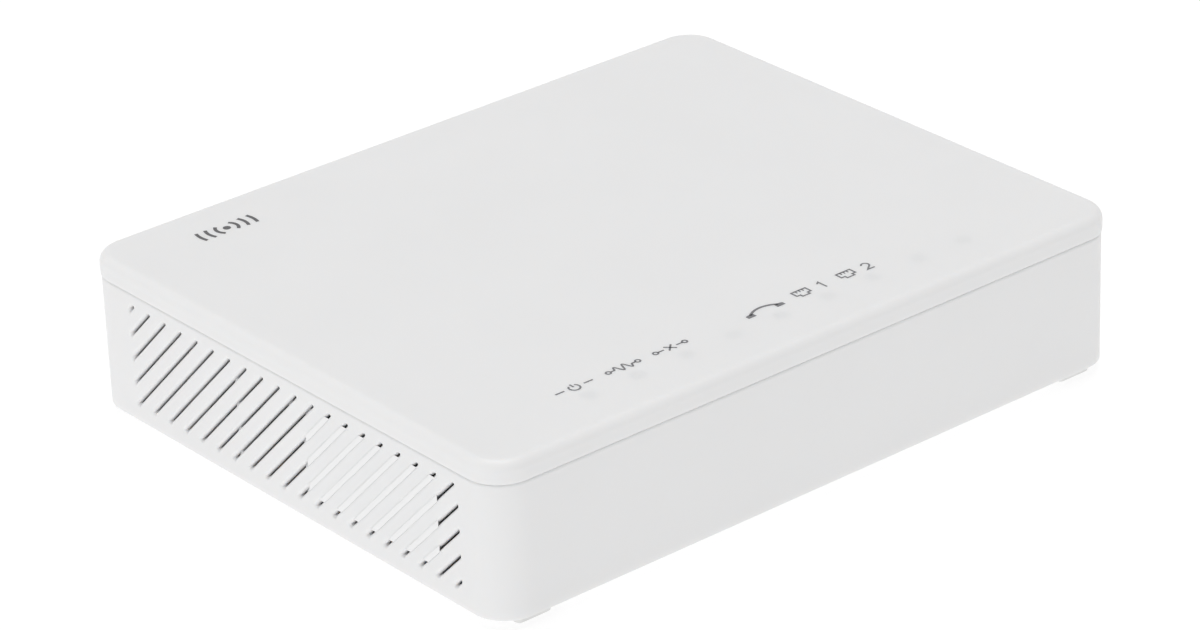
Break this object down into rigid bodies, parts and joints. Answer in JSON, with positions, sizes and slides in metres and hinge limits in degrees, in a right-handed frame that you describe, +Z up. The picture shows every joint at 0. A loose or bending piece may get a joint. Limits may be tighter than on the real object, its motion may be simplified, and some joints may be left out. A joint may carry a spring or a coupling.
{
  "type": "optical network terminal",
  "caption": "Flat white desktop fibre terminal with round corners, a shallow lid over a deeper base, slanted side vents and sockets along the back.",
  "frame": {"origin": "centre of the footprint, on the plane that the feet stand on", "axes": "+X along the front face from left to right, +Y from the front towards the connectors, +Z up"},
  "size_m": [0.155, 0.125, 0.0338],
  "materials": {
    "case_white": "fine matt moulded white ABS",
    "foot_rubber": "soft light grey elastomer",
    "label": "blank printed-film label, light grey",
    "board": "green solder mask over glass-epoxy laminate",
    "chip": "black moulded epoxy",
    "capacitor": "dark sleeved aluminium can",
    "thermal_pad": "grey silicone gap pad",
    "aluminium": "plain extruded aluminium",
    "steel": "zinc-plated steel",
    "tin": "bright tin plate",
    "gold": "gold-flashed contacts in a moulded strip",
    "jack_black": "black moulded nylon",
    "optical_plastic": "blue moulded polyester, the usual colour of a flat-polished fibre port",
    "ceramic": "white zirconia",
    "lamp": "clear-topped lamp",
    "light_guide": "clear polycarbonate",
    "plunger": "white moulded plunger",
    "button": "white moulded cap"
  },
  "bodies": {
    "case": {"base_shell": "case_white", "top_cover": "case_white", "vent_baffle": "case_white", "foot_front_left": "foot_rubber", "foot_front_right": "foot_rubber", "foot_rear_left": "foot_rubber", "foot_rear_right": "foot_rubber", "rating_label": "label", "case_screw_left": "steel", "case_screw_right": "steel", "board_screw_1": "steel", "board_screw_2": "steel", "board_screw_3": "steel", "board_screw_4": "steel", "main_board": "board", "processor": "chip", "thermal_pad": "thermal_pad", "heat_sink": "aluminium", "shield_can": "tin", "optical_driver": "chip", "memory_chip": "chip", "flash_chip": "chip", "phone_line_chip": "chip", "lan_transformer_1": "chip", "lan_transformer_2": "chip", "capacitor_1": "capacitor", "capacitor_2": "capacitor", "capacitor_3": "capacitor", "inductor_1": "chip", "inductor_2": "chip", "clock_crystal": "steel", "lamp_power": "lamp", "lamp_optical": "lamp", "lamp_signal_loss": "lamp", "lamp_phone": "lamp", "lamp_lan_1": "lamp", "lamp_lan_2": "lamp", "light_guide": "light_guide", "lan_1_jack": "jack_black", "lan_2_jack": "jack_black", "phone_jack": "jack_black", "lan_1_contacts": "gold", "lan_2_contacts": "gold", "phone_contacts": "gold", "optical_receptacle": "optical_plastic", "ferrule_sleeve": "ceramic", "optical_subassembly": "steel", "laser_can": "tin", "receiver_can": "tin", "power_inlet": "jack_black", "power_inlet_pin": "tin", "power_switch": "jack_black", "reset_switch": "jack_black"},
    "power_button": {"power_button_cap": "button", "power_switch_plunger": "plunger"},
    "reset_button": {"reset_plunger": "plunger"}
  },
  "joints": [
    {"name": "power_button_slide", "type": "slide", "parent": "case", "child": "power_button", "axis": [0, -1, 0], "range_m": [0, 0.0018], "stiffness_N_per_m": 600, "springref_m": -0.002},
    {"name": "reset_button_slide", "type": "slide", "parent": "case", "child": "reset_button", "axis": [0, -1, 0], "range_m": [0, 0.0003], "stiffness_N_per_m": 3000, "springref_m": -0.0002}
  ]
}
